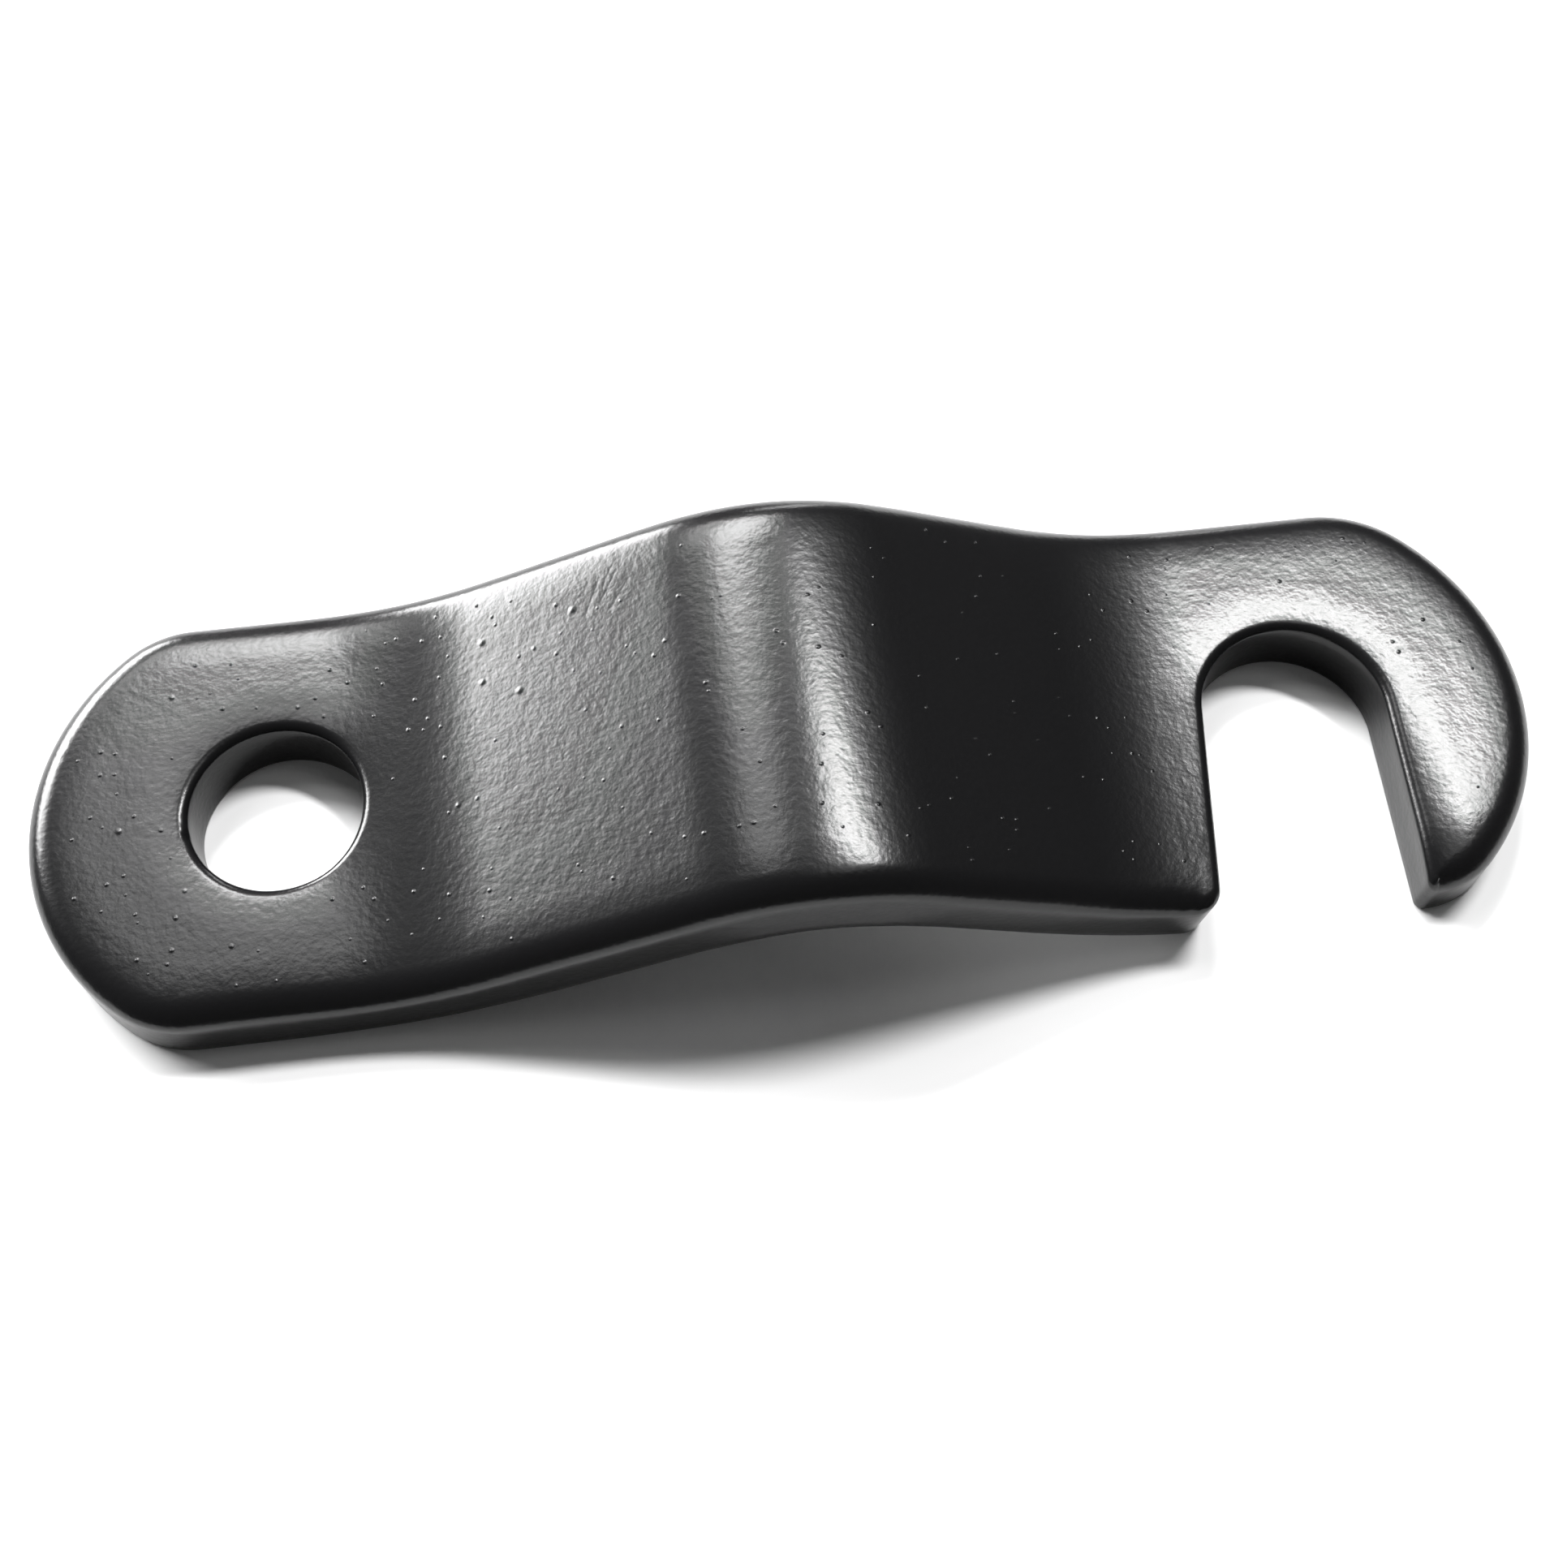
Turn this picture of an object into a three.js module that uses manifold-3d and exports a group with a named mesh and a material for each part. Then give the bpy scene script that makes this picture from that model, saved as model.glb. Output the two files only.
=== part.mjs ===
// A cranked hook arm: one piece of flat steel, blanked with a pivot eye at one end and an open
// hook at the other, then pressed over a form so that its middle stands up as a low hump.
// Both ends lie flat on one plane, and the whole piece is powder coated black.
//
// Millimetres, +Z up. The origin is on the underside plane, in the middle of the part's length
// and width. The eye is at -X, the hook is at +X, and the hook's mouth opens toward -Y.

import * as THREE from 'three';
import { mergeVertices } from 'three/addons/utils/BufferGeometryUtils.js';
import Module from 'manifold-3d';

// Strip
const WIDTH = 25.3;
const THICK = 4.2; // 4 mm steel with its coat
const EDGE_IN = 2; // the upper outer edges are rounded this far in, and
const EDGE_DOWN = 1.25; // this far down; the lower edges are sharp
const SIDE_SWELL = 1; // the sides swell by this much for each unit of bending strain
const RIM_CHAMFER = 0.5; // upper rim of the hole and of the slot

// Eye, with x from the pivot hole's centre and y from the strip's centre line
const HOLE_D = 10;
const HOLE_Y = -0.15;
const EYE_R = 14.6;
const EYE_CENTRE_X = 0.5;
const EYE_CORNER_R = 6;

// Press form, from the hole's centre: bend up, ramp, crest, ramp down, bend out to flat
const BEND_START = 2.5;
const BEND_UP_R = 24.5; // inner radius, on the upper side
const RAMP_UP_ANGLE = 22.25;
const RAMP_UP = 12;
const CREST_R = 12; // inner radius, on the underside
const RAMP_DOWN_ANGLE = 24.5;
const BEND_OUT_R = 21.3; // inner radius, on the upper side

// Hook, with x from the end of the last bend and y from the strip's centre line
const HOOK_R = 15.15;
const HOOK_CENTRE_X = 3.75;
const HOOK_CENTRE_Y = -0.25;
const HOOK_CORNER_R = 7.5;
const TIP_CORNER_R = 5;

// Slot, in the same measures; both walls lean toward the eye on their way to the mouth
const SLOT_R = 5.4;
const SLOT_X = 5.05;
const SLOT_Y = -0.9;
const EYE_WALL_LEAN = 8.3;
const TIP_WALL_LEAN = 1.8;
const EYE_WALL_CORNER_R = 1.5;
const TIP_WALL_CORNER_R = 0.5;

// Fineness of the facets
const BEND_STEP = 2.5; // degrees
const ARC_POINTS = 8; // per half of an outline arc
const EDGE_STEPS = 3;
const HOLE_POINTS = 24; // the same, for the hole

const HALF_WIDTH = WIDTH / 2;
const LEAD = 1; // flat strip before the first bend and after the last
const OVERLAP = 3; // length that the strip shares with each flat end
const CLEAR = 5; // how far a cutter runs past the metal

const radians = THREE.MathUtils.degToRad;

// Walks the underside of the press form and lists its stations: x, z, slope, and the middle
// layer's curvature. It is positive where the strip bends upward, and tapers to nothing at both
// ends of a bend so that the swelling of the sides starts and stops smoothly.
function formStations() {
  const stations = [{ x: BEND_START - LEAD - OVERLAP, z: 0, slope: 0, curvature: 0 }];
  const last = () => stations[stations.length - 1];

  function straight(length) {
    const { x, z, slope } = last();
    const end = { x: x + length * Math.cos(slope), z: z + length * Math.sin(slope) };
    stations.push({ ...end, slope, curvature: 0 });
  }

  // A positive turn bends upward about a centre above, a negative one about a centre below.
  function bend(radius, turn) {
    const from = last();
    const side = Math.sign(turn);
    const curvature = side / (radius - (side * THICK) / 2);
    const steps = Math.ceil(Math.abs(turn) / radians(BEND_STEP));
    for (let i = 1; i <= steps; i += 1) {
      const slope = from.slope + (turn * i) / steps;
      const x = from.x + side * radius * (Math.sin(slope) - Math.sin(from.slope));
      const z = from.z + side * radius * (Math.cos(from.slope) - Math.cos(slope));
      stations.push({ x, z, slope, curvature: curvature * Math.sin((Math.PI * i) / steps) });
    }
  }

  const up = radians(RAMP_UP_ANGLE);
  const down = radians(RAMP_DOWN_ANGLE);
  straight(LEAD + OVERLAP);
  bend(BEND_UP_R + THICK, up);
  straight(RAMP_UP);
  bend(CREST_R, -up - down);
  straight((last().z - (BEND_OUT_R + THICK) * (1 - Math.cos(down))) / Math.sin(down));
  bend(BEND_OUT_R + THICK, down);
  const hookStart = last().x;
  straight(LEAD + OVERLAP);
  return { stations, hookStart };
}

// The strip's section: square lower corners, rounded upper ones.
function stripSection() {
  const inner = HALF_WIDTH - EDGE_IN;
  const spring = THICK - EDGE_DOWN;
  const section = new THREE.Shape();
  section.moveTo(-HALF_WIDTH, 0);
  section.lineTo(HALF_WIDTH, 0);
  section.lineTo(HALF_WIDTH, spring);
  section.absellipse(inner, spring, EDGE_IN, EDGE_DOWN, 0, Math.PI / 2);
  section.absellipse(-inner, spring, EDGE_IN, EDGE_DOWN, Math.PI / 2, Math.PI);
  section.closePath();
  return section;
}

// The section carried along the press form, one facet between each two stations. The sides
// swell out on the inner face of each bend and draw in on the outer face.
function bentStrip(stations) {
  const steps = stations.length - 1;
  const options = { depth: steps, steps, bevelEnabled: false, curveSegments: EDGE_STEPS };
  const geometry = new THREE.ExtrudeGeometry(stripSection(), options);
  const position = geometry.attributes.position;
  for (let i = 0; i < position.count; i += 1) {
    const across = position.getX(i);
    const height = position.getY(i);
    const { x, z, slope, curvature } = stations[Math.round(position.getZ(i))];
    const strain = (height - THICK / 2) * curvature;
    const swollen = across + SIDE_SWELL * strain * (across / HALF_WIDTH) ** 3;
    position.setXYZ(i, x - height * Math.sin(slope), swollen, z + height * Math.cos(slope));
  }
  return geometry;
}

// Centre of an arc that rounds the corner between the strip's side and an end circle.
function cornerCentre(circle, radius, sideY, direction) {
  const y = sideY - Math.sign(sideY) * radius;
  const reach = Math.sqrt((circle.radius - radius) ** 2 - (y - circle.y) ** 2);
  return { x: circle.x + direction * reach, y };
}

function angleFrom(circle, point) {
  return Math.atan2(point.y - circle.y, point.x - circle.x);
}

// The eye's flat end, drawn counterclockwise from where it meets the strip.
function eyeOutline() {
  const circle = { x: EYE_CENTRE_X, y: 0, radius: EYE_R };
  const upper = cornerCentre(circle, EYE_CORNER_R, HALF_WIDTH, -1);
  const lower = cornerCentre(circle, EYE_CORNER_R, -HALF_WIDTH, -1);
  const upperEnd = angleFrom(circle, upper);
  const lowerEnd = angleFrom(circle, lower) + 2 * Math.PI;
  const outline = new THREE.Shape();
  outline.moveTo(BEND_START - LEAD, -HALF_WIDTH);
  outline.lineTo(BEND_START - LEAD, HALF_WIDTH);
  outline.absarc(upper.x, upper.y, EYE_CORNER_R, Math.PI / 2, upperEnd);
  outline.absarc(circle.x, circle.y, EYE_R, upperEnd, lowerEnd);
  outline.absarc(lower.x, lower.y, EYE_CORNER_R, lowerEnd, 1.5 * Math.PI);
  outline.closePath();
  return outline;
}

// The hook's flat end before the slot is cut.
function hookOutline(hookStart) {
  const circle = { x: hookStart + HOOK_CENTRE_X, y: HOOK_CENTRE_Y, radius: HOOK_R };
  const tip = cornerCentre(circle, TIP_CORNER_R, -HALF_WIDTH, 1);
  const back = cornerCentre(circle, HOOK_CORNER_R, HALF_WIDTH, 1);
  const outline = new THREE.Shape();
  outline.moveTo(hookStart + LEAD, -HALF_WIDTH);
  outline.lineTo(tip.x, -HALF_WIDTH);
  outline.absarc(tip.x, tip.y, TIP_CORNER_R, -Math.PI / 2, angleFrom(circle, tip));
  outline.absarc(circle.x, circle.y, HOOK_R, angleFrom(circle, tip), angleFrom(circle, back));
  outline.absarc(back.x, back.y, HOOK_CORNER_R, angleFrom(circle, back), Math.PI / 2);
  outline.lineTo(hookStart + LEAD, HALF_WIDTH);
  outline.closePath();
  return outline;
}

// A flat end with its upper edge rounded. It runs below the underside plane, to be trimmed there.
function flatEnd(outline) {
  const geometry = new THREE.ExtrudeGeometry(cleanOutline(outline, ARC_POINTS), {
    depth: THICK,
    bevelThickness: EDGE_DOWN,
    bevelSize: EDGE_IN,
    bevelOffset: -EDGE_IN,
    bevelSegments: EDGE_STEPS,
  });
  return geometry.translate(0, 0, -EDGE_DOWN);
}

// The slot with its two rounded mouth corners, running out past the strip's side.
function slotOutline(hookStart) {
  const x = hookStart + SLOT_X;
  const eyeLean = radians(EYE_WALL_LEAN);
  const tipLean = radians(TIP_WALL_LEAN);
  const eyeCorner = mouthCorner(x, eyeLean, -1, EYE_WALL_CORNER_R);
  const tipCorner = mouthCorner(x, tipLean, 1, TIP_WALL_CORNER_R);
  const outline = new THREE.Shape();
  outline.moveTo(eyeCorner.x, -HALF_WIDTH - CLEAR);
  outline.lineTo(tipCorner.x, -HALF_WIDTH - CLEAR);
  outline.absarc(tipCorner.x, tipCorner.y, TIP_WALL_CORNER_R, -Math.PI / 2, -Math.PI - tipLean, true);
  outline.absarc(x, SLOT_Y, SLOT_R, -tipLean, Math.PI - eyeLean);
  outline.absarc(eyeCorner.x, eyeCorner.y, EYE_WALL_CORNER_R, -eyeLean, -Math.PI / 2, true);
  outline.closePath();
  return outline;
}

// Centre of the arc between one slot wall and the strip's side. Side is -1 toward the eye.
function mouthCorner(slotX, lean, side, radius) {
  const offset = side * (SLOT_R + radius);
  const y = -HALF_WIDTH + radius;
  const wallX = slotX + offset * Math.cos(lean);
  const wallY = SLOT_Y - offset * Math.sin(lean);
  return { x: wallX - (wallY - y) * Math.tan(lean), y };
}

// The same outline without the repeated points left where one of its arcs meets the next.
function cleanOutline(outline, curveSegments) {
  const points = outline.getPoints(curveSegments);
  const isNew = (point, i) => point.distanceTo(points.at(i - 1)) > 1e-6;
  return new THREE.Shape(points.filter(isNew));
}

function holeOutline() {
  const outline = new THREE.Shape();
  outline.absarc(0, HOLE_Y, HOLE_D / 2, 0, 2 * Math.PI);
  return outline;
}

// A straight cutter through the metal, and a wider one above that chamfers the upper rim.
function cutters(outline, curveSegments) {
  const clean = cleanOutline(outline, curveSegments);
  const through = { depth: THICK + 2 * CLEAR, bevelEnabled: false };
  const chamfer = {
    depth: CLEAR,
    bevelThickness: 2 * RIM_CHAMFER,
    bevelSize: 2 * RIM_CHAMFER,
    bevelOffset: -RIM_CHAMFER,
    bevelSegments: 1,
  };
  return [
    new THREE.ExtrudeGeometry(clean, through).translate(0, 0, -CLEAR),
    new THREE.ExtrudeGeometry(clean, chamfer).translate(0, 0, THICK + RIM_CHAMFER),
  ];
}

const wasm = await Module();
wasm.setup();

function toSolid(geometry) {
  const bare = geometry.index ? geometry.toNonIndexed() : geometry.clone();
  bare.deleteAttribute('normal');
  bare.deleteAttribute('uv');
  const merged = mergeVertices(bare, 1e-5);
  const vertProperties = new Float32Array(merged.attributes.position.array);
  const triVerts = new Uint32Array(merged.index.array);
  return new wasm.Manifold(new wasm.Mesh({ numProp: 3, vertProperties, triVerts }));
}

function toGeometry(solid) {
  const { vertProperties, triVerts } = solid.getMesh();
  const geometry = new THREE.BufferGeometry();
  geometry.setAttribute('position', new THREE.BufferAttribute(vertProperties, 3));
  geometry.setIndex(new THREE.BufferAttribute(triVerts, 1));
  return geometry;
}

// Joins the strip and its two flat ends, trims the underside and cuts the hole and the slot.
function hookArmGeometry() {
  const { stations, hookStart } = formStations();
  const eyeTip = EYE_CENTRE_X - EYE_R;
  const hookTip = hookStart + HOOK_CENTRE_X + HOOK_R;
  const middle = (eyeTip + hookTip) / 2;
  const length = hookTip - eyeTip;
  const underside = new THREE.BoxGeometry(length + 2 * CLEAR, WIDTH + 2 * CLEAR, 2 * CLEAR);
  underside.translate(middle, 0, -CLEAR);

  let solid = toSolid(bentStrip(stations))
    .add(toSolid(flatEnd(eyeOutline())))
    .add(toSolid(flatEnd(hookOutline(hookStart))))
    .subtract(toSolid(underside));
  const cuts = [
    ...cutters(holeOutline(), HOLE_POINTS),
    ...cutters(slotOutline(hookStart), ARC_POINTS),
  ];
  for (const cut of cuts) {
    solid = solid.subtract(toSolid(cut));
  }
  return toGeometry(solid).translate(-middle, 0, 0);
}

const coat = new THREE.MeshStandardMaterial({ color: 0x17181a, roughness: 0.32, metalness: 0 });
const hookArm = new THREE.Mesh(hookArmGeometry(), coat);
hookArm.name = 'hook_arm';

const part = new THREE.Group();
part.name = 'cranked_hook_arm';
part.add(hookArm);

export default part;
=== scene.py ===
"""A cranked hook arm of pressed steel with a semi-gloss black powder coat.

The arm is modelled as it is made: a flat blank with a rolled upper edge, a punched hole and an
open slot, bent over a press form. Blank coordinates are (s, y): s runs along the strip's middle
line from the hole's centre, y across it from the strip's middle. Lengths are millimetres until
the mesh is written.
"""

import math

import bpy
import numpy as np
from mathutils import Matrix, Quaternion, Vector
from mathutils.geometry import delaunay_2d_cdt


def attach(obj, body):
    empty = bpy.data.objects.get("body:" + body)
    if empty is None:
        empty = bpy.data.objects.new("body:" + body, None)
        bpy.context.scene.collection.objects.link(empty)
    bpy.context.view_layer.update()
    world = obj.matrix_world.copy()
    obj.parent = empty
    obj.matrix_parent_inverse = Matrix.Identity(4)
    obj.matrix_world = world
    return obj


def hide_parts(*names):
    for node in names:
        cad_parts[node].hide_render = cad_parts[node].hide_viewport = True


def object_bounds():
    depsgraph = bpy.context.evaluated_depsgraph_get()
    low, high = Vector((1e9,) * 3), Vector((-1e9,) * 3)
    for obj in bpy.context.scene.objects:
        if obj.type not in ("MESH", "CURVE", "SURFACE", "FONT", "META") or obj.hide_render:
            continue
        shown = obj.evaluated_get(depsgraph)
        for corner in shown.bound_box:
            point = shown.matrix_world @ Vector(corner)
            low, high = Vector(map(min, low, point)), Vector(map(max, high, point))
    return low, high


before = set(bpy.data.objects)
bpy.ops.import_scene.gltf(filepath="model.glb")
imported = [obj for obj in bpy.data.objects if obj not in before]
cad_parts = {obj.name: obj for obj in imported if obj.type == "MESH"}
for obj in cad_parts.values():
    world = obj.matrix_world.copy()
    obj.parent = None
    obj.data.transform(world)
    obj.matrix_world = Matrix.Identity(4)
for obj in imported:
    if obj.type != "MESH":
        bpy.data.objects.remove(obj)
cad_low, cad_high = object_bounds()

# ---------------------------------------------------------------- driving dimensions

MM = 0.001
WIDTH = 25.3
THICK = 4.2
HALF = WIDTH / 2

HOLE_R = 5.0
HOLE_CENTRE = (0.0, -0.15)
EYE_R = 14.6
EYE_CENTRE = (0.5, 0.0)
EYE_CORNER_R = 6.0

BEND_START = 2.5
BEND_UP_R = 24.5 + THICK / 2  # bend radii on the middle line
RAMP_UP_ANGLE = math.radians(22.25)
RAMP_UP = 12.0
CREST_R = 12.0 + THICK / 2
RAMP_DOWN_ANGLE = math.radians(24.5)
BEND_OUT_R = 21.3 + THICK / 2

HOOK_R = 15.15
HOOK_OFFSET = (3.75, -0.25)  # from the end of the last bend
HOOK_CORNER_R = 7.5
TIP_CORNER_R = 5.0
SLOT_R = 5.4
SLOT_OFFSET = (5.05, -0.9)
EYE_WALL_LEAN = math.radians(8.3)
TIP_WALL_LEAN = math.radians(1.8)
EYE_WALL_CORNER_R = 1.5
TIP_WALL_CORNER_R = 0.5

# Bending swells the strip's sides on the inner face of each bend and draws them in on the outer.
SIDE_SWELL = 1.0  # mm of swell for each unit of bending strain
SWELL_SPREAD = 2.0  # how far to each side of a point the strain is averaged

# Shapes of the upper surface: how far in from the edge each one reaches, and how far down.
EDGE_IN, EDGE_DOWN = 1.6, 1.05  # the outer edge's round
RIM_IN, RIM_DOWN = 0.6, 0.42  # the smaller round of the hole and the slot
ROLL_IN, ROLL_DOWN = 3.4, 0.2  # a broad shallow roll-over inside the outer edge
DISH_IN, DISH_DOWN = 3.2, 0.12  # a shallow dish round the hole and the slot
FINGER_IN, FINGER_DOWN = 3.0, 0.3  # the finger's slot side, deepest at the hook's tip
TIP_IN, TIP_DOWN = 4.0, 0.25  # the finger's end
LOWER_EDGE = 0.28  # radius of the lower edges

# Nibs of grit under the coating: s, y, radius, height
NIBS = [
    (13.4, 7.9, 0.32, 0.035),
    (13.3, 5.3, 0.26, 0.029),
    (15.6, 4.0, 0.30, 0.033),
    (19.3, 8.1, 0.30, 0.033),
    (16.7, 6.4, 0.18, 0.020),
    (11.2, -2.0, 0.22, 0.024),
    (12.5, -1.9, 0.18, 0.020),
    (13.0, -2.0, 0.16, 0.018),
    (-5.9, 7.6, 0.22, 0.024),
    (1.3, 6.1, 0.18, 0.020),
    (2.4, 5.0, 0.16, 0.018),
    (-8.7, -0.7, 0.26, 0.029),
    (-8.4, -1.4, 0.16, 0.018),
    (-5.4, -1.1, 0.20, 0.022),
    (-5.0, -4.8, 0.18, 0.020),
    (54.9, -6.2, 0.24, 0.026),
    (54.3, -6.7, 0.20, 0.022),
    (54.2, -7.3, 0.22, 0.024),
    (55.9, -9.7, 0.16, 0.018),
]
SPECK_COUNT = 380
SPECK_SEED = 7
SPECK_CROWDING = 1.7  # 1 spreads the specks evenly along the strip
SPECK_R, SPECK_RISE = 0.13, 0.22  # the rise is a share of the speck's own radius
SPECK_LEAST, SPECK_RANGE = 0.7, 0.6  # a speck's radius, as a share of SPECK_R
NIB_EDGE_GAP, NIB_HOLE_GAP = 1.9, 1.0  # nibs and specks stay this far from the edges

# Fine crackle lines in the coating on the ramp, near the far side, and a chip on the hole's rim
CRACKLE = [
    ((20.1, 7.5), (21.2, 9.6)),
    ((20.9, 7.7), (22.3, 9.8)),
    ((21.7, 7.4), (22.9, 8.9)),
    ((21.3, 8.9), (22.0, 10.1)),
]
CRACKLE_HALF_WIDTH, CRACKLE_DEPTH = 0.13, 0.004
CHIP_CENTRE = (-4.9, -1.2)
CHIP_R, CHIP_DEPTH = 0.42, 0.2

# Mesh fineness
OUTLINE_STEP = 0.25
INNER_STEP = 0.42
EDGE_RINGS = 8
WALL_ROWS = 6
NIB_RINGS = (0.25, 0.5, 0.75, 1.0, 1.3)
NIB_POINTS = 10
NIB_CLEAR = 0.1  # between a nib's last ring and the inner grid
RING_SLACK = 0.01  # how much too near the edge a ring's point may be
EDGE_SOFTENING = 40  # passes that soften the change between the outer edge and the slot's rim
POINT_BLOCK = 1000  # points handled at a time, which limits the memory used


# ---------------------------------------------------------------- the press form


def press_sections():
    """The middle line as (length, turn) sections from the first bend's start."""
    fall = (BEND_UP_R + CREST_R) * (1 - math.cos(RAMP_UP_ANGLE))
    fall += RAMP_UP * math.sin(RAMP_UP_ANGLE)
    fall -= (CREST_R + BEND_OUT_R) * (1 - math.cos(RAMP_DOWN_ANGLE))
    crest_turn = RAMP_UP_ANGLE + RAMP_DOWN_ANGLE
    return [
        (BEND_UP_R * RAMP_UP_ANGLE, RAMP_UP_ANGLE),
        (RAMP_UP, 0.0),
        (CREST_R * crest_turn, -crest_turn),
        (fall / math.sin(RAMP_DOWN_ANGLE), 0.0),
        (BEND_OUT_R * RAMP_DOWN_ANGLE, RAMP_DOWN_ANGLE),
    ]


HOOK_START = BEND_START + sum(length for length, _ in press_sections())
HOLE_X = cad_low.x / MM + EYE_R - EYE_CENTRE[0]


def middle_line(s):
    """x, z and slope of the middle line at each s."""
    x, z, slope = s.copy(), np.full_like(s, THICK / 2), np.zeros_like(s)
    begin, at_x, at_z, at_slope = BEND_START, BEND_START, THICK / 2, 0.0
    for length, turn in press_sections() + [(math.inf, 0.0)]:
        on = s >= begin
        along = np.minimum(s[on] - begin, length)
        if turn:
            radius = length / turn
            slope[on] = at_slope + along / radius
            x[on] = at_x + radius * (np.sin(slope[on]) - math.sin(at_slope))
            z[on] = at_z + radius * (math.cos(at_slope) - np.cos(slope[on]))
            at_x += radius * (math.sin(at_slope + turn) - math.sin(at_slope))
            at_z += radius * (math.cos(at_slope) - math.cos(at_slope + turn))
            at_slope += turn
        else:
            slope[on] = at_slope
            x[on] = at_x + along * math.cos(at_slope)
            z[on] = at_z + along * math.sin(at_slope)
            if length < math.inf:
                at_x += length * math.cos(at_slope)
                at_z += length * math.sin(at_slope)
        begin += length
    return x, z, slope


def bend(s, y, height):
    """Blank points, with height above the underside, to points on the pressed arm in metres."""
    x, z, slope = middle_line(s)
    above = height - THICK / 2
    curving = middle_line(s + SWELL_SPREAD)[2] - middle_line(s - SWELL_SPREAD)[2]
    strain = above * curving / (2 * SWELL_SPREAD)
    swollen = y + SIDE_SWELL * strain * (y / HALF) ** 3
    return MM * np.column_stack(
        [HOLE_X + x - above * np.sin(slope), swollen, z + above * np.cos(slope)]
    )


# ---------------------------------------------------------------- the blank's outline


def line(start, end):
    """Points of a straight line without its last one."""
    count = max(2, round(math.dist(start, end) / OUTLINE_STEP))
    share = np.arange(count)[:, None] / count
    return np.array(start) + share * (np.array(end) - np.array(start))


def arc(centre, radius, start, end):
    """Points of an arc without its last one."""
    count = max(6, round(abs(end - start) * radius / OUTLINE_STEP))
    angle = start + (end - start) * np.arange(count) / count
    return np.array(centre) + radius * np.column_stack([np.cos(angle), np.sin(angle)])


def corner_centre(centre, radius, corner_r, side_y, direction):
    """Centre of the arc that rounds the corner between the strip's side and an end circle."""
    y = side_y - math.copysign(corner_r, side_y)
    reach = math.sqrt((radius - corner_r) ** 2 - (y - centre[1]) ** 2)
    return (centre[0] + direction * reach, y)


def angle_from(centre, point):
    return math.atan2(point[1] - centre[1], point[0] - centre[0])


def mouth_corner(slot, lean, side, radius):
    """Centre of the arc between a slot wall and the strip's side. Side is -1 toward the eye."""
    offset = side * (SLOT_R + radius)
    y = -HALF + radius
    wall_x = slot[0] + offset * math.cos(lean)
    wall_y = slot[1] - offset * math.sin(lean)
    return (wall_x - (wall_y - y) * math.tan(lean), y)


def hook_parts():
    """Centres of the hook's circle, slot and rounded corners."""
    circle = (HOOK_START + HOOK_OFFSET[0], HOOK_OFFSET[1])
    slot = (HOOK_START + SLOT_OFFSET[0], SLOT_OFFSET[1])
    return {
        "circle": circle,
        "slot": slot,
        "tip": corner_centre(circle, HOOK_R, TIP_CORNER_R, -HALF, 1),
        "back": corner_centre(circle, HOOK_R, HOOK_CORNER_R, HALF, 1),
        "eye_wall": mouth_corner(slot, EYE_WALL_LEAN, -1, EYE_WALL_CORNER_R),
        "tip_wall": mouth_corner(slot, TIP_WALL_LEAN, 1, TIP_WALL_CORNER_R),
    }


def wall_point(slot, lean, side):
    """Where the slot's closed end meets one of its walls."""
    return (
        slot[0] + side * SLOT_R * math.cos(lean),
        slot[1] - side * SLOT_R * math.sin(lean),
    )


def along_wall(corner, lean, side, radius):
    """Where a mouth corner meets its slot wall."""
    return (corner[0] - side * radius * math.cos(lean), corner[1] + side * radius * math.sin(lean))


def outer_side():
    """From the slot's tip-side mouth corner, round the hook, the far side and the eye."""
    at = hook_parts()
    quarter = math.pi / 2
    tip_angle = angle_from(at["circle"], at["tip"])
    back_angle = angle_from(at["circle"], at["back"])
    eye_top = corner_centre(EYE_CENTRE, EYE_R, EYE_CORNER_R, HALF, -1)
    eye_low = corner_centre(EYE_CENTRE, EYE_R, EYE_CORNER_R, -HALF, -1)
    top_angle = angle_from(EYE_CENTRE, eye_top)
    low_angle = angle_from(EYE_CENTRE, eye_low) + 4 * quarter
    return np.vstack(
        [
            line((at["tip_wall"][0], -HALF), (at["tip"][0], -HALF)),
            arc(at["tip"], TIP_CORNER_R, -quarter, tip_angle),
            arc(at["circle"], HOOK_R, tip_angle, back_angle),
            arc(at["back"], HOOK_CORNER_R, back_angle, quarter),
            line((at["back"][0], HALF), (eye_top[0], HALF)),
            arc(eye_top, EYE_CORNER_R, quarter, top_angle),
            arc(EYE_CENTRE, EYE_R, top_angle, low_angle),
            arc(eye_low, EYE_CORNER_R, low_angle, 3 * quarter),
            line((eye_low[0], -HALF), (at["eye_wall"][0], -HALF)),
        ]
    )


def slot_side():
    """From the strip's near side, round the slot and back to the outer side's start."""
    at = hook_parts()
    slot = at["slot"]
    quarter = math.pi / 2
    eye_foot = along_wall(at["eye_wall"], EYE_WALL_LEAN, -1, EYE_WALL_CORNER_R)
    tip_foot = along_wall(at["tip_wall"], TIP_WALL_LEAN, 1, TIP_WALL_CORNER_R)
    eye_head = wall_point(slot, EYE_WALL_LEAN, -1)
    tip_head = wall_point(slot, TIP_WALL_LEAN, 1)
    return np.vstack(
        [
            arc(at["eye_wall"], EYE_WALL_CORNER_R, -quarter, -EYE_WALL_LEAN),
            line(eye_foot, eye_head),
            arc(slot, SLOT_R, math.pi - EYE_WALL_LEAN, -TIP_WALL_LEAN),
            line(tip_head, tip_foot),
            arc(at["tip_wall"], TIP_WALL_CORNER_R, -math.pi - TIP_WALL_LEAN, -quarter),
        ]
    )


def hole_side():
    """The hole, drawn clockwise so that the steel lies on its left."""
    return arc(HOLE_CENTRE, HOLE_R, 2 * math.pi, 0.0)


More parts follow.
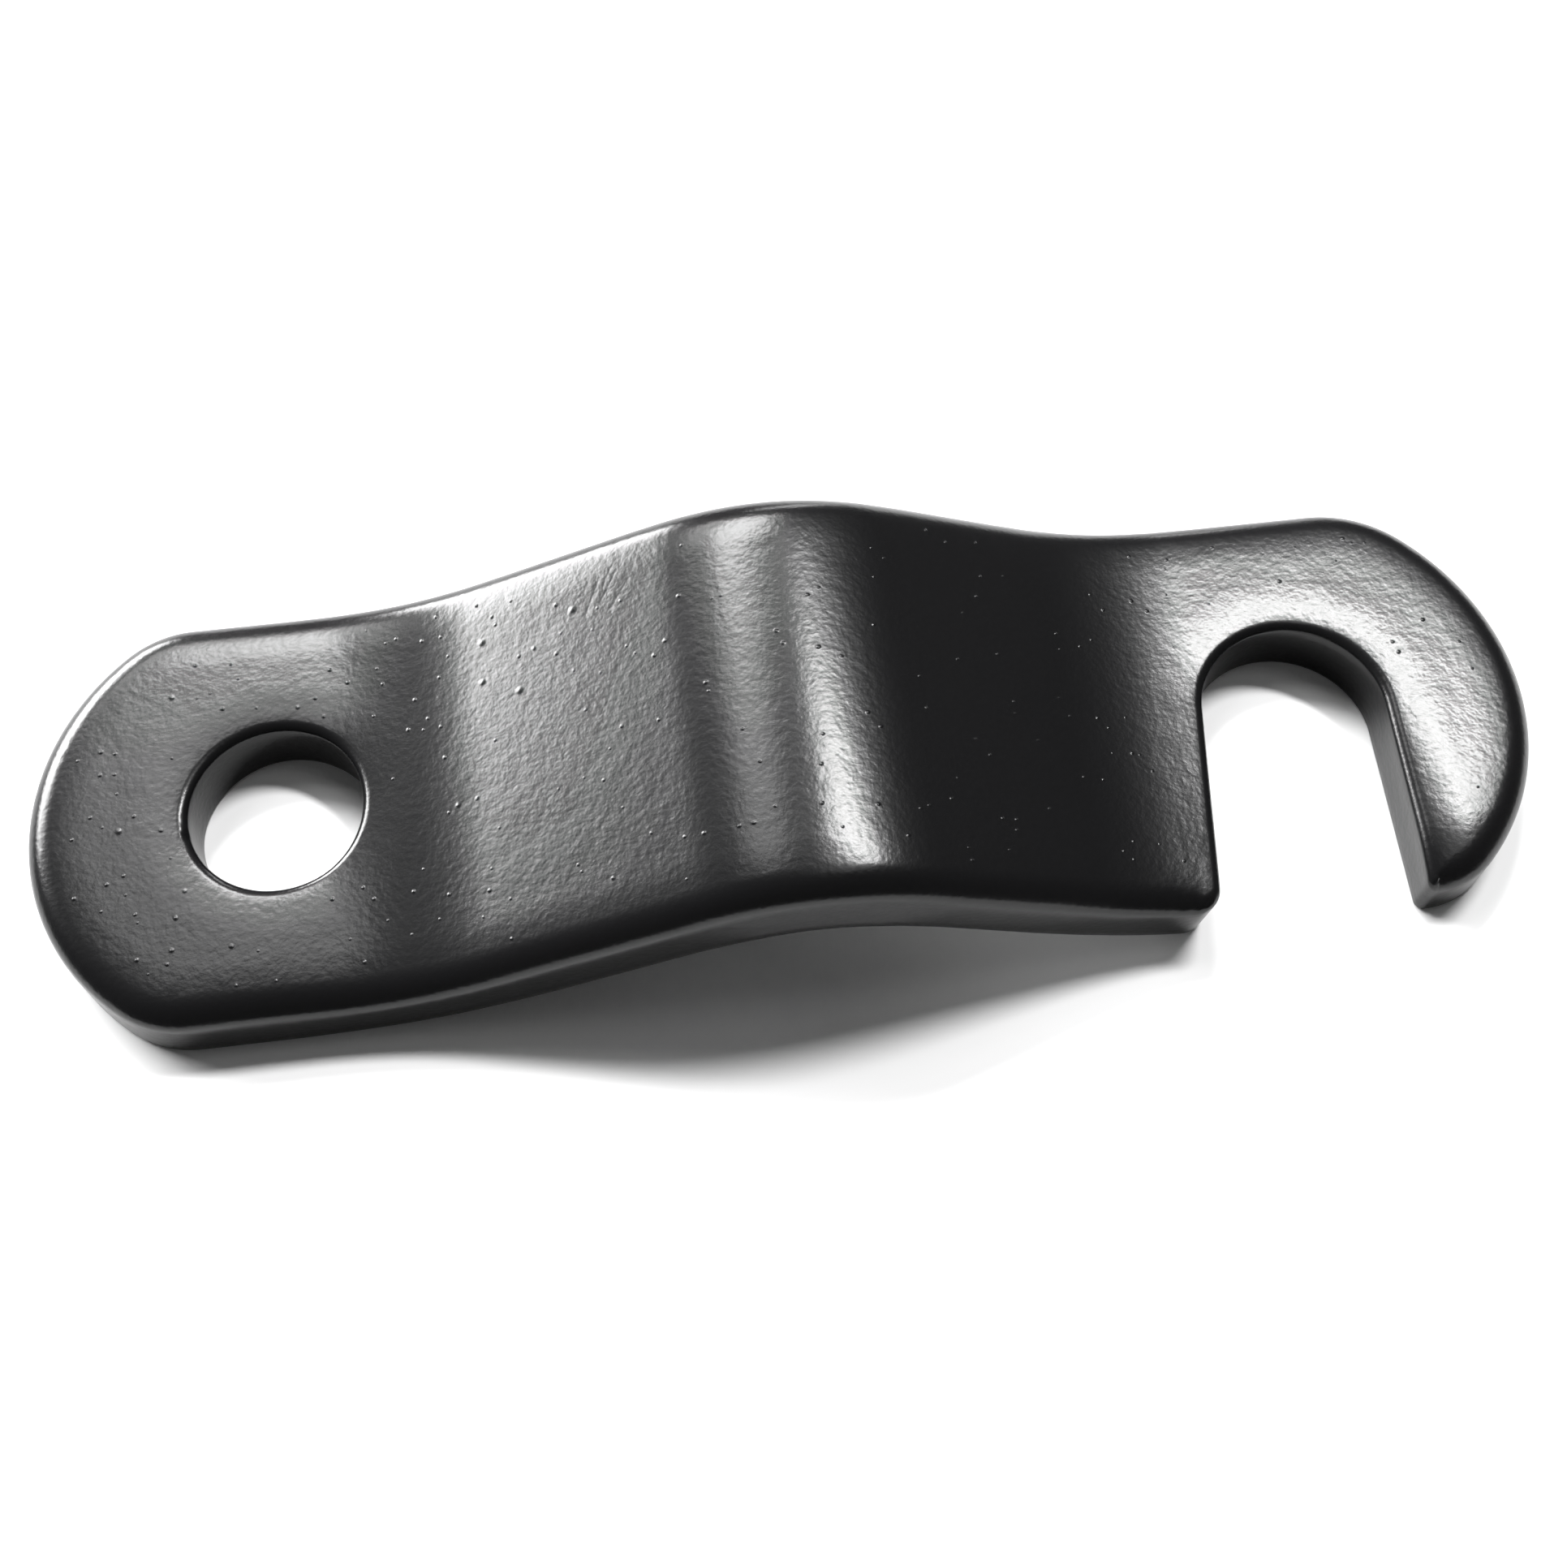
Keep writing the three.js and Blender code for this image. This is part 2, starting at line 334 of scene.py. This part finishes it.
def hole_distance(points):
    """Distance from each point to the hole's wall."""
    return np.hypot(points[:, 0] - HOLE_CENTRE[0], points[:, 1] - HOLE_CENTRE[1]) - HOLE_R


# ---------------------------------------------------------------- distances in the blank


def inward_normals(loop):
    """Unit normals at a closed loop's points, toward the steel on its left."""
    along = np.roll(loop, -1, axis=0) - np.roll(loop, 1, axis=0)
    along /= np.linalg.norm(along, axis=1)[:, None]
    return np.column_stack([-along[:, 1], along[:, 0]])


def nearest(points, curve, closed):
    """Distance from each point to a curve, and where along the curve it is nearest."""
    start = curve if closed else curve[:-1]
    step = (np.roll(curve, -1, axis=0) if closed else curve[1:]) - start
    square = (step**2).sum(axis=1)
    distance = np.empty(len(points))
    place = np.empty(len(points))
    for first in range(0, len(points), POINT_BLOCK):
        part = slice(first, first + POINT_BLOCK)
        offset = points[part, None, :] - start[None, :, :]
        share = np.clip((offset * step).sum(axis=2) / square, 0, 1)
        gap = ((offset - share[..., None] * step) ** 2).sum(axis=2)
        best = gap.argmin(axis=1)
        rows = np.arange(len(best))
        distance[part] = np.sqrt(gap[rows, best])
        place[part] = best + share[rows, best]
    return distance, place


def inside(points, loop):
    """True for the points inside a closed loop."""
    x0, y0 = loop[:, 0], loop[:, 1]
    x1, y1 = np.roll(x0, -1), np.roll(y0, -1)
    slope = (x1 - x0) / np.where(y1 == y0, 1.0, y1 - y0)
    found = np.zeros(len(points), bool)
    for first in range(0, len(points), POINT_BLOCK):
        part = slice(first, first + POINT_BLOCK)
        x, y = points[part, 0, None], points[part, 1, None]
        crosses = (y0 > y) != (y1 > y)
        found[part] = (crosses & (x < x0 + (y - y0) * slope)).sum(axis=1) % 2 == 1
    return found


# ---------------------------------------------------------------- the upper surface


def quarter_round(share):
    """Drop of an elliptical round: 1 at the wall, 0 with no slope at its inner end."""
    inward = np.clip(1 - share, 0, 1)
    return 1 - np.sqrt(np.maximum(1 - inward**2, 0))


def fade(share):
    """1 at the wall, falling to 0 with no slope at a share of 1."""
    return np.clip(1 - share, 0, 1) ** 2


def specks():
    """Small specks on the upper surface, thickest at the eye, as s, y, radius, height."""
    random = np.random.default_rng(SPECK_SEED)
    low, high = OUTLINE.min(axis=0), OUTLINE.max(axis=0)
    shares = random.random((SPECK_COUNT, 2)) ** (SPECK_CROWDING, 1)
    places = low + shares * (high - low)
    radii = SPECK_R * (SPECK_LEAST + SPECK_RANGE * random.random(SPECK_COUNT))
    return np.column_stack([places, radii, radii * SPECK_RISE])


def nibs():
    """All the nibs and specks that sit clear of the edges and of each other."""
    found = np.vstack([np.array(NIBS), specks()])
    gap, _ = nearest(found[:, :2], OUTLINE, closed=True)
    clear = inside(found[:, :2], OUTLINE) & (gap > NIB_EDGE_GAP)
    clear &= hole_distance(found) > NIB_HOLE_GAP
    kept = []
    for nib in found[clear]:
        if all(math.dist(nib[:2], other[:2]) > 2 * (nib[2] + other[2]) for other in kept):
            kept.append(nib)
    return np.array(kept)


def nib_rise(points):
    """How far the nibs stand above the surface at each point."""
    rise = np.zeros(len(points))
    for s, y, radius, height in ALL_NIBS:
        share = np.hypot(points[:, 0] - s, points[:, 1] - y) / radius
        rise += height * (1 + np.cos(math.pi * np.minimum(share, 1))) / 2
    return rise


def crackle_gap(points):
    """Distance from each point to the nearest crackle line."""
    gaps = [nearest(points, np.array(ends), closed=False)[0] for ends in CRACKLE]
    return np.min(gaps, axis=0)


def coat_marks(points):
    """How far crackle lines and the chip cut below the coating's surface at each point."""
    crackle = np.minimum(crackle_gap(points) / CRACKLE_HALF_WIDTH, 1)
    chip = np.hypot(points[:, 0] - CHIP_CENTRE[0], points[:, 1] - CHIP_CENTRE[1]) / CHIP_R
    cut = CRACKLE_DEPTH * (1 + np.cos(math.pi * crackle)) / 2
    return cut + CHIP_DEPTH * (1 + np.cos(math.pi * np.minimum(chip, 1))) / 2


def finger_drop(points, slot_gap):
    """How far the hook's finger falls away at each point; nothing on the rest of the arm."""
    toward_tip = np.clip((SLOT_OFFSET[1] - points[:, 1]) / (HALF + SLOT_OFFSET[1]), 0, 1)
    drop = FINGER_DOWN * toward_tip * fade(slot_gap / FINGER_IN)
    drop += TIP_DOWN * fade((points[:, 1] + HALF) / TIP_IN)
    return np.where(points[:, 0] > HOOK_START + SLOT_OFFSET[0], drop, 0)


def upper_drop(points, edge_gap, edge_share):
    """How far the upper surface lies below the flat, from its edges and the marks on it."""
    edge_in = RIM_IN + (EDGE_IN - RIM_IN) * edge_share
    edge_down = RIM_DOWN + (EDGE_DOWN - RIM_DOWN) * edge_share
    outer_gap, _ = nearest(points, OUTER, closed=False)
    slot_gap, _ = nearest(points, SLOT, closed=False)
    hole_gap = hole_distance(points)
    drop = edge_down * quarter_round(edge_gap / edge_in)
    drop += ROLL_DOWN * fade(outer_gap / ROLL_IN)
    drop += DISH_DOWN * (fade(slot_gap / DISH_IN) + fade(hole_gap / DISH_IN))
    drop += finger_drop(points, slot_gap)
    return drop + coat_marks(points) - nib_rise(points)


# ---------------------------------------------------------------- the mesh

OUTER = outer_side()
SLOT = slot_side()
OUTLINE = np.vstack([OUTER, SLOT])
HOLE = hole_side()
ALL_NIBS = nibs()


def outer_shares():
    """1 on the outer side and 0 in the slot, with a soft change round the mouth's corners."""
    share = np.concatenate([np.ones(len(OUTER)), np.zeros(len(SLOT))])
    for _ in range(EDGE_SOFTENING):
        share = (np.roll(share, 1) + share + np.roll(share, -1)) / 3
    return share


def edge_rings():
    """Outline and hole points, then rings of points inside them, close together at the edge."""
    shares = outer_shares()
    loops = [(OUTLINE, shares), (HOLE, np.zeros(len(HOLE)))]
    rings = [np.vstack([OUTLINE, HOLE])]
    for k in range(1, EDGE_RINGS + 1):
        reach = 1 - math.cos(math.pi / 2 * k / EDGE_RINGS)
        for loop, share in loops:
            gap = (RIM_IN + (EDGE_IN - RIM_IN) * share) * reach
            ring = loop + inward_normals(loop) * gap[:, None]
            true_gap, _ = nearest(ring, OUTLINE, closed=True)
            rings.append(ring[(true_gap > gap - RING_SLACK) & inside(ring, OUTLINE)])
    return rings


def nib_rings():
    """A centre and rings of points on each nib."""
    angle = 2 * math.pi * np.arange(NIB_POINTS) / NIB_POINTS
    round_ = np.column_stack([np.cos(angle), np.sin(angle)])
    rings = [ALL_NIBS[:, :2]]
    for share in NIB_RINGS:
        for s, y, radius, _ in ALL_NIBS:
            rings.append(np.array([s, y]) + share * radius * round_)
    return np.vstack(rings)


def crackle_rows():
    """Rows of points along the crackle lines."""
    rows = []
    for start, end in CRACKLE:
        length = math.dist(start, end)
        along = (np.array(end) - np.array(start)) / length
        across = np.array([-along[1], along[0]])
        reach = np.linspace(0, length, round(length / CRACKLE_HALF_WIDTH))
        for share in (-1, -0.5, 0, 0.5, 1):
            offset = across * share * CRACKLE_HALF_WIDTH
            rows.append(np.array(start) + reach[:, None] * along + offset)
    return np.vstack(rows)


def inner_grid():
    """A triangular grid over the steel, clear of the edge rings, the nibs and the crackle."""
    row_step = INNER_STEP * math.sqrt(3) / 2
    rows = np.arange(-HALF, HALF, row_step)
    columns = np.arange(OUTLINE[:, 0].min(), OUTLINE[:, 0].max(), INNER_STEP)
    grid = np.array(
        [(s + INNER_STEP / 2 * (i % 2), y) for i, y in enumerate(rows) for s in columns]
    )
    grid = grid[inside(grid, OUTLINE)]
    gap, place = nearest(grid, OUTLINE, closed=True)
    shares = outer_shares()[place.astype(int) % len(OUTLINE)]
    edge_in = RIM_IN + (EDGE_IN - RIM_IN) * shares
    hole_gap = hole_distance(grid)
    clear = (gap > edge_in + INNER_STEP / 2) & (hole_gap > RIM_IN + INNER_STEP / 2)
    clear &= crackle_gap(grid) > 2 * CRACKLE_HALF_WIDTH
    for s, y, radius, _ in ALL_NIBS:
        reach = radius * NIB_RINGS[-1] + NIB_CLEAR
        clear &= np.hypot(grid[:, 0] - s, grid[:, 1] - y) > reach
    return grid[clear]


def triangulate():
    """Blank points and triangles; the outline's points come first, then the hole's."""
    rings = edge_rings()
    points = np.vstack(rings + [nib_rings(), crackle_rows(), inner_grid()])
    count, hole_count = len(OUTLINE), len(HOLE)
    edges = [(i, (i + 1) % count) for i in range(count)]
    edges += [(count + i, count + (i + 1) % hole_count) for i in range(hole_count)]
    made = delaunay_2d_cdt([Vector(p) for p in points], edges, [], 0, 1e-6)
    points = np.array([tuple(v) for v in made[0]])
    triangles = np.array([f for f in made[2] if len(f) == 3])
    middle = points[triangles].mean(axis=1)
    steel = inside(middle, OUTLINE) & ~inside(middle, HOLE)
    return points, triangles[steel]


def wall_strip(top, bottom, loops):
    """Faces between the top and the bottom vertex numbers of closed loops."""
    faces = []
    for loop in loops:
        for a, b in zip(loop, np.roll(loop, -1)):
            faces.append((bottom[a], bottom[b], top[b], top[a]))
    return faces


def arm_mesh():
    """The upper surface, its copy for the underside and the walls between, pressed to shape."""
    points, triangles = triangulate()
    outline_gap, place = nearest(points, OUTLINE, closed=True)
    hole_gap = hole_distance(points)
    shares = outer_shares()[place.astype(int) % len(OUTLINE)]
    edge_gap = np.maximum(np.minimum(outline_gap, hole_gap), 0)
    edge_share = np.where(hole_gap < outline_gap, 0.0, shares)
    top = THICK - upper_drop(points, edge_gap, edge_share)
    low = LOWER_EDGE * quarter_round(edge_gap / LOWER_EDGE)

    count = len(points)
    rim = np.arange(len(OUTLINE) + len(HOLE))
    loops = [rim[: len(OUTLINE)], rim[len(OUTLINE) :]]
    layers = [bend(points[:, 0], points[:, 1], top), bend(points[:, 0], points[:, 1], low)]
    faces = [tuple(t) for t in triangles] + [tuple(t[::-1] + count) for t in triangles]
    above = rim
    for row in range(1, WALL_ROWS):
        share = row / WALL_ROWS
        height = top[rim] * (1 - share) + low[rim] * share
        layers.append(bend(points[rim, 0], points[rim, 1], height))
        below = 2 * count + (row - 1) * len(rim) + rim
        faces += wall_strip(above, below, loops)
        above = below
    faces += wall_strip(above, rim + count, loops)

    mesh = bpy.data.meshes.new("hook_arm_coated")
    mesh.from_pydata(np.vstack(layers).tolist(), [], [[int(i) for i in f] for f in faces])
    mesh.update()
    mesh.shade_smooth()
    return mesh


# ---------------------------------------------------------------- the powder coat

COAT_GRAIN = [(2.2, 0.015), (0.8, 0.008), (0.34, 0.012)]  # size and depth of each layer


def powder_coat():
    """Semi-gloss black powder coat: fine grain over a longer orange peel."""
    material = bpy.data.materials.new("black_powder_coat")
    material.use_nodes = True
    nodes, links = material.node_tree.nodes, material.node_tree.links
    shader = nodes["Principled BSDF"]
    shader.inputs["Base Color"].default_value = (0.0038, 0.0038, 0.0041, 1)
    shader.inputs["Roughness"].default_value = 0.23
    shader.inputs["Specular IOR Level"].default_value = 0.27
    where = nodes.new("ShaderNodeTexCoord").outputs["Object"]
    normal = None
    for size, depth in COAT_GRAIN:
        noise = nodes.new("ShaderNodeTexNoise")
        noise.inputs["Scale"].default_value = 1 / (size * MM)
        noise.inputs["Detail"].default_value = 2
        links.new(where, noise.inputs["Vector"])
        bump = nodes.new("ShaderNodeBump")
        bump.inputs["Strength"].default_value = 1
        bump.inputs["Distance"].default_value = depth * MM
        links.new(noise.outputs["Fac"], bump.inputs["Height"])
        if normal:
            links.new(normal, bump.inputs["Normal"])
        normal = bump.outputs["Normal"]
    links.new(normal, shader.inputs["Normal"])
    return material


def make_arm():
    """The one visible piece, which rides on the fixed body in place of the CAD solid."""
    arm = bpy.data.objects.new("hook_arm_coated", arm_mesh())
    bpy.context.scene.collection.objects.link(arm)
    arm.data.materials.append(powder_coat())
    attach(arm, "root")
    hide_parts("hook_arm")


# ---------------------------------------------------------------- the studio

# Both in metres
FLOOR_HALF = 1.5
PANEL_DISTANCE = 1.8


def make_floor():
    """A plain pale floor under the part."""
    mesh = bpy.data.meshes.new("floor")
    half = FLOOR_HALF
    corners = [(-half, -half, 0), (half, -half, 0), (half, half, 0), (-half, half, 0)]
    mesh.from_pydata(corners, [], [(0, 1, 2, 3)])
    floor = bpy.data.objects.new("floor", mesh)
    material = bpy.data.materials.new("pale_floor")
    material.use_nodes = True
    shader = material.node_tree.nodes["Principled BSDF"]
    shader.inputs["Base Color"].default_value = (0.9, 0.9, 0.9, 1)
    shader.inputs["Roughness"].default_value = 0.9
    shader.inputs["Specular IOR Level"].default_value = 0.1
    mesh.materials.append(material)
    bpy.context.scene.collection.objects.link(floor)


def soft_panel(name, azimuth, elevation, width, height, radiance, turn=0):
    """A soft panel, with its place, its size and its turn seen from the part, in degrees.

    Azimuth 0 is +Y and 90 is +X.
    """
    a, e = math.radians(azimuth), math.radians(elevation)
    out = Vector((math.sin(a) * math.cos(e), math.cos(a) * math.cos(e), math.sin(e)))
    data = bpy.data.lights.new(name, "AREA")
    data.shape = "ELLIPSE"
    data.size = 2 * PANEL_DISTANCE * math.tan(math.radians(width) / 2)
    data.size_y = 2 * PANEL_DISTANCE * math.tan(math.radians(height) / 2)
    data.energy = radiance * math.pi * (math.pi / 4 * data.size * data.size_y)
    light = bpy.data.objects.new(name, data)
    light.location = out * PANEL_DISTANCE
    light.rotation_mode = "QUATERNION"
    spin = Quaternion((0, 0, 1), -math.radians(turn))
    light.rotation_quaternion = out.to_track_quat("Z", "Y") @ spin
    bpy.context.scene.collection.objects.link(light)


def make_lights():
    """A weak white world, and soft panels round the far side that the coat reflects."""
    world = bpy.data.worlds.new("studio")
    world.use_nodes = True
    background = world.node_tree.nodes["Background"]
    background.inputs["Color"].default_value = (1, 1, 1, 1)
    background.inputs["Strength"].default_value = 0.095
    bpy.context.scene.world = world
    soft_panel("window_panel", -43, 18, 46, 22, 38, -18)
    soft_panel("window_top", -49, 31, 20, 7, 24, -18)
    soft_panel("back_lamp", -7, 50.5, 25, 8, 60, -12)
    soft_panel("far_panel", -25, 43, 20, 7, 16, -12)
    soft_panel("right_lamp", 42, 58.5, 20, 5, 126, -8)
    soft_panel("low_back_panel", 10, 14, 5, 26, 14, 38)
    soft_panel("overhead_panel", -25, 61.5, 17, 13, 7.2, 13)
    soft_panel("side_panel", 70, 72, 14, 20, 2)


# ---------------------------------------------------------------- the camera

CAMERA_AZIMUTH = math.radians(-7.784)
CAMERA_ELEVATION = math.radians(63.361)
CAMERA_ROLL = math.radians(-0.738)
CAMERA_DISTANCE = 114.09
CAMERA_LENS = 44.217  # on a sensor CAMERA_SENSOR wide
CAMERA_SENSOR = 36
CAMERA_CLIP = (0.005, 20)  # metres
TARGET_FROM_HOLE = 28.906  # the point looked at, along the strip


def make_camera():
    """A near camera above the part's -Y side, turned a little off the strip's length."""
    data = bpy.data.cameras.new("camera")
    data.sensor_fit = "HORIZONTAL"
    data.sensor_width = CAMERA_SENSOR
    data.lens = CAMERA_LENS
    data.clip_start, data.clip_end = CAMERA_CLIP
    camera = bpy.data.objects.new("camera", data)
    back = Vector(
        (
            math.sin(CAMERA_AZIMUTH) * math.cos(CAMERA_ELEVATION),
            -math.cos(CAMERA_AZIMUTH) * math.cos(CAMERA_ELEVATION),
            math.sin(CAMERA_ELEVATION),
        )
    )
    level = Vector((math.cos(CAMERA_AZIMUTH), math.sin(CAMERA_AZIMUTH), 0))
    upright = back.cross(level)
    right = math.cos(CAMERA_ROLL) * level - math.sin(CAMERA_ROLL) * upright
    up = math.sin(CAMERA_ROLL) * level + math.cos(CAMERA_ROLL) * upright
    turn = Matrix((right, up, back)).transposed()
    camera.rotation_mode = "QUATERNION"
    camera.rotation_quaternion = turn.to_quaternion()
    target = Vector((HOLE_X + TARGET_FROM_HOLE, HOLE_CENTRE[1], 0))
    camera.location = (target + back * CAMERA_DISTANCE) * MM
    bpy.context.scene.collection.objects.link(camera)
    bpy.context.scene.camera = camera


make_camera()
make_arm()
make_floor()
make_lights()
bpy.context.scene.view_settings.view_transform = "Standard"
